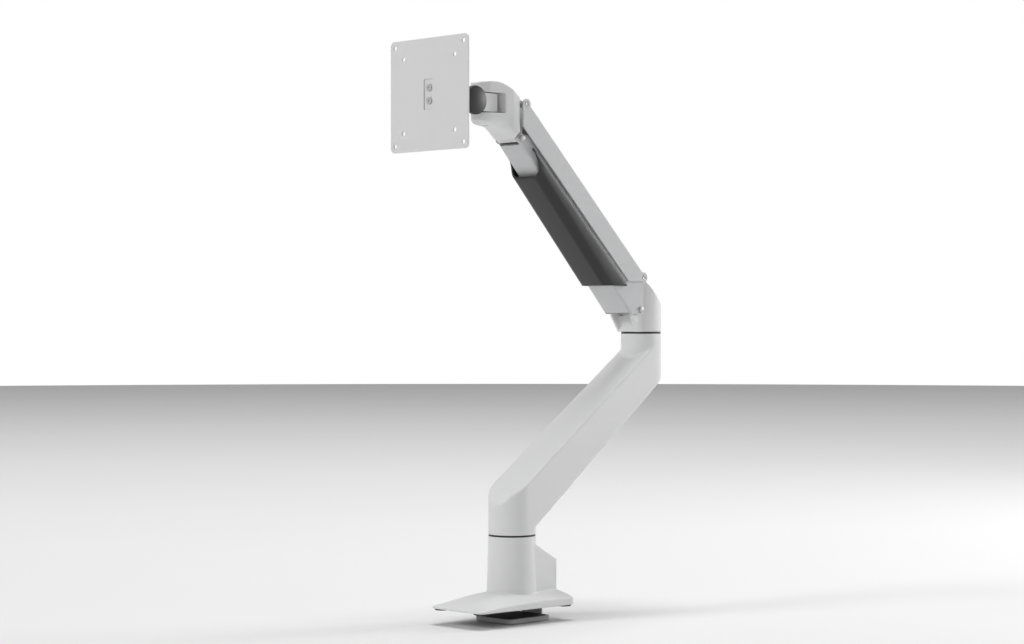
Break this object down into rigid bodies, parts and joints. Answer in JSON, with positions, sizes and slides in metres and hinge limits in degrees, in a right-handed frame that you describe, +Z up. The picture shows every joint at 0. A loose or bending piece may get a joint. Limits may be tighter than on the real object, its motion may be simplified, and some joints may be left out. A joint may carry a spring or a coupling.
{
  "type": "monitor arm",
  "caption": "Desk-clamp monitor arm with a swivelling lower arm, a gas-sprung parallelogram upper arm, and a panning, tilting and rotating plate for a display.",
  "frame": {"origin": "base swivel axis at the desk surface, under the middle of the base", "axes": "+Z up, the monitor plate faces -Y with the arm folded in its rest pose, +X to the side"},
  "size_m": [0.113, 0.3404, 0.5932],
  "materials": {
    "white_paint": "fine matt powder coat",
    "grey_paint": "fine matt powder coat",
    "jaw_paint": "satin grey paint",
    "cover_plastic": "satin moulded plastic",
    "knob_plastic": "satin moulded plastic",
    "washer_plastic": "self-lubricating plastic",
    "pad_rubber": "matt",
    "steel": "zinc plated",
    "pin_steel": "polished",
    "spring_black": "gloss black paint"
  },
  "bodies": {
    "base": {"base_casting": "white_paint", "foot_pads": "pad_rubber", "grip_pad": "pad_rubber", "base_post": "steel", "base_washer": "washer_plastic"},
    "jaw": {"clamp_jaw": "jaw_paint", "jaw_pad": "pad_rubber", "jaw_nut": "steel"},
    "screw": {"clamp_screw": "steel"},
    "lower": {"lower_arm": "white_paint", "arm_tray": "white_paint", "base_bush": "washer_plastic", "base_grub_screw": "steel", "elbow_post": "steel", "elbow_washer": "washer_plastic"},
    "elbow": {"elbow_knuckle": "white_paint", "elbow_bush": "washer_plastic", "elbow_grub_screw": "steel", "elbow_low_pin": "pin_steel", "elbow_top_pin": "pin_steel"},
    "upper": {"channel": "grey_paint", "cable_cover": "cover_plastic", "spring_pin": "pin_steel"},
    "link": {"top_link": "grey_paint"},
    "spring_body": {"gas_cylinder": "spring_black"},
    "spring_rod": {"gas_rod": "pin_steel"},
    "head": {"head_knuckle": "white_paint", "head_low_pin": "pin_steel", "head_top_pin": "pin_steel", "anchor_block": "steel", "tension_screw": "steel", "pan_bolt": "steel", "pan_washers": "washer_plastic"},
    "pan": {"pan_block": "grey_paint"},
    "tilt": {"tilt_bracket": "grey_paint", "tilt_axle": "steel", "axle_nut": "steel", "tilt_washers": "washer_plastic"},
    "knob": {"tilt_knob": "knob_plastic"},
    "plate": {"monitor_plate": "grey_paint", "plate_screws": "steel", "plate_spindle": "steel", "spindle_nut": "steel"}
  },
  "joints": [
    {"name": "jaw_slide", "type": "slide", "parent": "base", "child": "jaw", "axis": [0, 0, -1], "range_m": [0, 0.038]},
    {"name": "clamp_screw_turn", "type": "hinge", "parent": "base", "child": "screw", "pos_m": [0, 0.0375, 0.04], "axis": [0, 0, 1], "range_deg": [0, 6841]},
    {"name": "base_swivel", "type": "hinge", "parent": "base", "child": "lower", "pos_m": [0, 0, 0.074], "axis": [0, 0, 1], "range_deg": [-180, 180]},
    {"name": "elbow_swivel", "type": "hinge", "parent": "lower", "child": "elbow", "pos_m": [0, 0.2004, 0.2826], "axis": [0, 0, 1], "range_deg": [-170, 170]},
    {"name": "arm_lift", "type": "hinge", "parent": "elbow", "child": "upper", "pos_m": [0, 0.1788, 0.308], "axis": [-1, 0, 0], "range_deg": [-50, 5]},
    {"name": "link_swing", "type": "hinge", "parent": "elbow", "child": "link", "pos_m": [0, 0.18161, 0.34289], "axis": [-1, 0, 0], "range_deg": [-50.5, 5.5]},
    {"name": "head_level", "type": "hinge", "parent": "upper", "child": "head", "pos_m": [0, -0.00229, 0.4841], "axis": [-1, 0, 0], "range_deg": [-5.5, 50.5]},
    {"name": "spring_swing", "type": "hinge", "parent": "upper", "child": "spring_body", "pos_m": [0, 0.15156, 0.33449], "axis": [-1, 0, 0], "range_deg": [-0.5, 1.9]},
    {"name": "spring_slide", "type": "slide", "parent": "spring_body", "child": "spring_rod", "axis": [0, -0.6705, 0.7419], "range_m": [-0.0158, 0.002]},
    {"name": "head_pan", "type": "hinge", "parent": "head", "child": "pan", "pos_m": [0, -0.03999, 0.5185], "axis": [0, 0, 1], "range_deg": [-80, 80]},
    {"name": "head_tilt", "type": "hinge", "parent": "pan", "child": "tilt", "pos_m": [0, -0.07099, 0.5185], "axis": [-1, 0, 0], "range_deg": [-30, 80]},
    {"name": "knob_turn", "type": "hinge", "parent": "tilt", "child": "knob", "pos_m": [0.018, -0.07099, 0.5185], "axis": [1, 0, 0], "continuous": true},
    {"name": "plate_rotate", "type": "hinge", "parent": "tilt", "child": "plate", "pos_m": [0, -0.118, 0.5222], "axis": [0, -1, 0], "range_deg": [-90, 90]}
  ],
  "couplings": [
    {"joint": "clamp_screw_turn", "follows": "jaw_slide", "rad_per_m": 3141.6},
    {"joint": "link_swing", "follows": "arm_lift", "ratio": 1},
    {"joint": "head_level", "follows": "arm_lift", "ratio": -1},
    {"joint": "spring_swing", "follows": "arm_lift", "ratio": -0.03305},
    {"joint": "spring_slide", "follows": "arm_lift", "m_per_rad": 0.01692}
  ]
}
